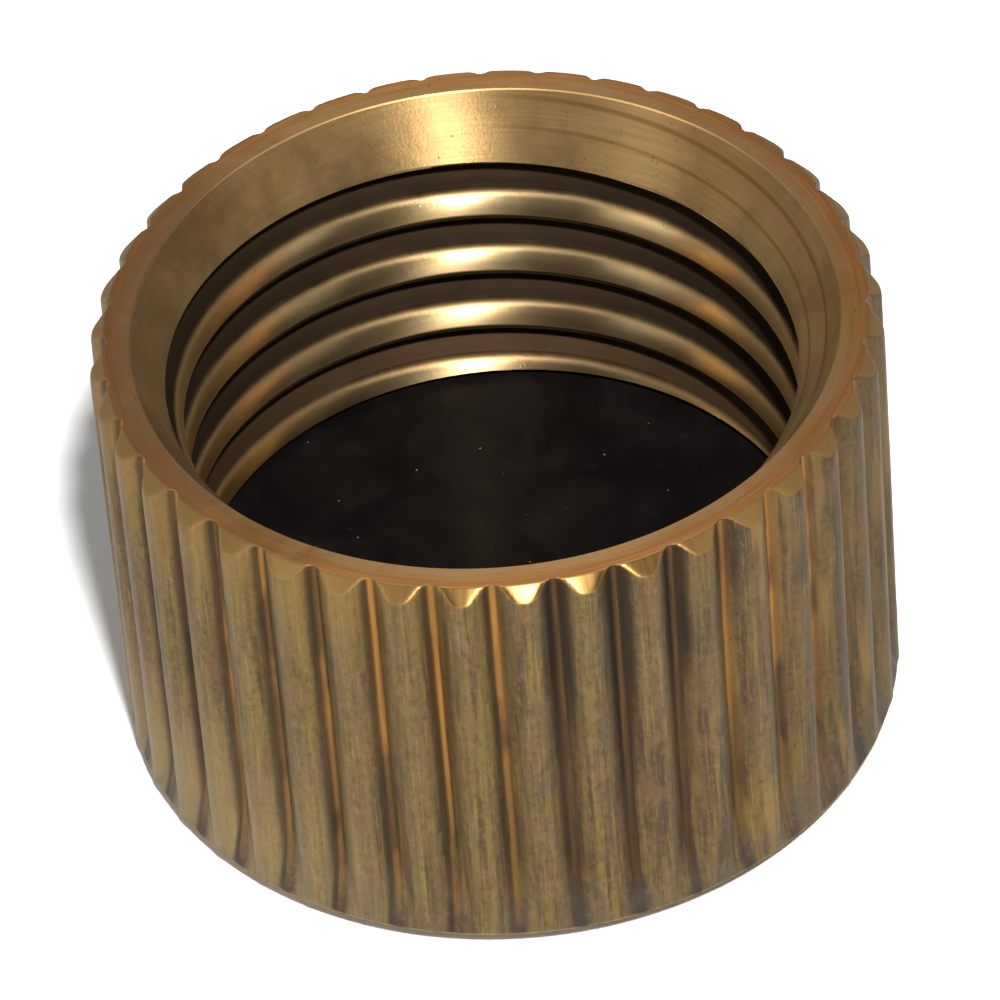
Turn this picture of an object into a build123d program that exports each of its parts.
from build123d import *
import os
from math import tan, radians

# Fluted brass pipe cap with a captive rubber sealing disc, in millimetres.
# The origin is the centre of the closed end's outer face, and +Z runs along
# the axis towards the open, threaded mouth.

INCH = 25.4

# outer form
outer_r = 13.2 / 2        # over the lands between the flutes
height = 8.1              # closed face to rim
closed_chamfer = 0.38     # 45 degrees, round the closed end
mouth_chamfer = 0.30      # 45 degrees, round the rim
blank_margin = 0.2        # how far the turning profile passes the outer surface

# grip flutes
flute_count = 40
flute_start_deg = -92.3
flute_depth = 0.33
flute_width = 0.54        # across the groove at the outer diameter, without its bevels
flute_root_width = 0.09
flute_lip = 0.025         # sets the bevel where a groove meets a land
bevel_depth = 2 * flute_lip
bevel_outer_half = flute_width / 2 + 2 * flute_lip    # half width, flute_lip outside the land
bevel_inner_half = flute_width / 2 - 1.9 * flute_lip  # half width at bevel_depth

# run-out of the flutes
runout_start = 0.30       # height where the groove floor leaves the outer diameter
runout_end = 1.75         # top of the cone, just below the groove floor
runout_skin = 0.004       # the cone's widest part stays this far inside outer_r
runout_sink = 0.02        # the cone's top lies this far under the groove floor

# inside: closed floor, seal pocket, bore and countersunk mouth
floor_t = 1.20
pocket_r = 5.65
pocket_top = 2.25
pocket_roof_rise = 0.06   # rise of the pocket's roof from its wall to the bore
bore_r = 5.13
countersink_r = 5.89
countersink_depth = 1.15
mouth_overcut = 1.0       # cut continued past the rim

# 7/16-20 UNF internal thread, right hand
thread_pitch = INCH / 20
thread_major_r = 7 / 16 * INCH / 2
thread_half_angle = 30
thread_root_flat = thread_pitch / 8
thread_overcut = 0.45     # the groove profile reaches this far inside the bore
thread_start_z = 1.85     # groove centre at the helix start, inside the pocket
thread_start_deg = 146.7  # direction of the helix start, from +X
thread_turns = 5          # enough to run out through the mouth

# rubber sealing disc
seal_t = 0.95
seal_clearance = 0.07     # radial running clearance in the pocket
seal_edge = 0.12          # edge rounding


def half_section(*points):
    """Closed outline of (radius, height) points, ready to revolve about Z."""
    with BuildSketch(Plane.XZ) as section:
        with BuildLine():
            Polyline(*points, close=True)
        make_face()
    return section.sketch


def make_thread_turn():
    """One turn of the groove: a truncated 60 degree vee swept up a helix from +X."""
    reach = thread_major_r - (bore_r - thread_overcut)
    half_root = thread_root_flat / 2
    half_mouth = half_root + reach * tan(radians(thread_half_angle))

    with BuildPart() as turn:
        with BuildLine() as path:
            Helix(pitch=thread_pitch, height=thread_pitch, radius=thread_major_r)
        with BuildSketch(Plane(origin=path.line @ 0, x_dir=(1, 0, 0), z_dir=path.line % 0)):
            with BuildLine():
                Polyline(
                    (0, half_root),
                    (-reach, half_mouth),
                    (-reach, -half_mouth),
                    (0, -half_root),
                    close=True,
                )
            make_face()
        sweep(path=path.line, is_frenet=True)
    return turn.part


def make_cap_body():
    """Fluted bar, turned outside, then bored, relieved, countersunk and threaded."""
    thread_turn = make_thread_turn()

    with BuildPart() as cap:
        # fluted bar
        with BuildSketch(Plane.XY):
            Circle(outer_r)
            with PolarLocations(outer_r, flute_count, start_angle=flute_start_deg):
                Polygon(
                    (flute_lip, bevel_outer_half),
                    (-bevel_depth, bevel_inner_half),
                    (-flute_depth, flute_root_width / 2),
                    (-flute_depth, -flute_root_width / 2),
                    (-bevel_depth, -bevel_inner_half),
                    (flute_lip, -bevel_outer_half),
                    align=None,
                    mode=Mode.SUBTRACT,
                )
        extrude(amount=height)

        # a shallow cone fills the grooves towards the closed end
        runout = half_section(
            (0, 0),
            (outer_r - runout_skin, 0),
            (outer_r - runout_skin, runout_start),
            (outer_r - flute_depth - runout_sink, runout_end),
            (0, runout_end),
        )
        revolve(runout, axis=Axis.Z)

        # the two end chamfers, each carried on past the outer surface
        outer_form = half_section(
            (0, 0),
            (outer_r - closed_chamfer, 0),
            (outer_r + blank_margin, closed_chamfer + blank_margin),
            (outer_r + blank_margin, height - mouth_chamfer - blank_margin),
            (outer_r - mouth_chamfer, height),
            (0, height),
        )
        revolve(outer_form, axis=Axis.Z, mode=Mode.INTERSECT)

        # seal pocket, bore and countersink
        inner_form = half_section(
            (0, floor_t),
            (pocket_r, floor_t),
            (pocket_r, pocket_top),
            (bore_r, pocket_top + pocket_roof_rise),
            (bore_r, height - countersink_depth),
            (countersink_r, height),
            (countersink_r, height + mouth_overcut),
            (0, height + mouth_overcut),
        )
        revolve(inner_form, axis=Axis.Z, mode=Mode.SUBTRACT)

        # thread, cut one turn at a time from the pocket to the mouth
        for turn in range(thread_turns):
            turn_z = thread_start_z + turn * thread_pitch
            place = Location((0, 0, turn_z), (0, 0, thread_start_deg))
            add(thread_turn.moved(place), mode=Mode.SUBTRACT)
    return cap.part


def make_sealing_disc():
    """Disc on the cap's floor, wider than the bore, so the thread keeps it captive."""
    with BuildPart() as disc:
        with BuildSketch(Plane.XY.offset(floor_t)):
            Circle(pocket_r - seal_clearance)
        extrude(amount=seal_t)
        fillet(disc.edges().filter_by(GeomType.CIRCLE), radius=seal_edge)
    return disc.part


os.makedirs("parts", exist_ok=True)
pieces = {
    "cap_body": make_cap_body(),
    "sealing_disc": make_sealing_disc(),
}
for name, piece in pieces.items():
    piece.label = name
    export_step(piece, f"parts/{name}.step")
